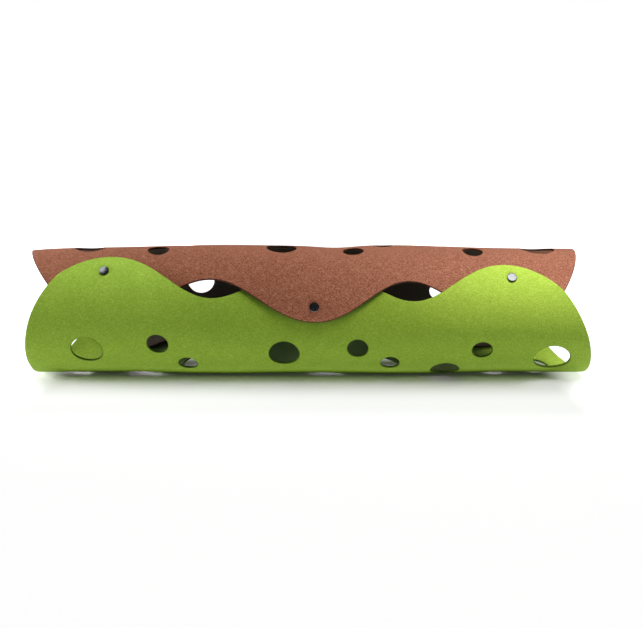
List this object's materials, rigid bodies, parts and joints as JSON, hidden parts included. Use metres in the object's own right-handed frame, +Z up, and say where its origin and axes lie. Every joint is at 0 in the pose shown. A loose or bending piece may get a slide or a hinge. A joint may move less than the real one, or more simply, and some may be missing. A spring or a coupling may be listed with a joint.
{
  "type": "felt cat tunnel",
  "caption": "Round pet tunnel rolled from a green and a brown felt sheet with scalloped interleaved edges, punched holes and press studs along both seams.",
  "frame": {"origin": "on the floor, under the middle of the tunnel's box", "axes": "+X along the tunnel, +Z up, -Y towards the viewer in front of the green side"},
  "size_m": [1.2329, 0.2964, 0.2845],
  "materials": {
    "green_felt": "matte needle felt",
    "brown_felt": "matte needle felt",
    "stud_metal": "polished"
  },
  "bodies": {
    "root": {"felt_green": "green_felt", "felt_brown": "brown_felt", "press_cap_front_left": "stud_metal", "press_stud_front_left": "stud_metal", "press_cap_front_middle": "stud_metal", "press_stud_front_middle": "stud_metal", "press_cap_front_right": "stud_metal", "press_stud_front_right": "stud_metal", "press_cap_back_left": "stud_metal", "press_stud_back_left": "stud_metal", "press_cap_back_middle": "stud_metal", "press_stud_back_middle": "stud_metal", "press_cap_back_right": "stud_metal", "press_stud_back_right": "stud_metal"}
  },
  "joints": []
}
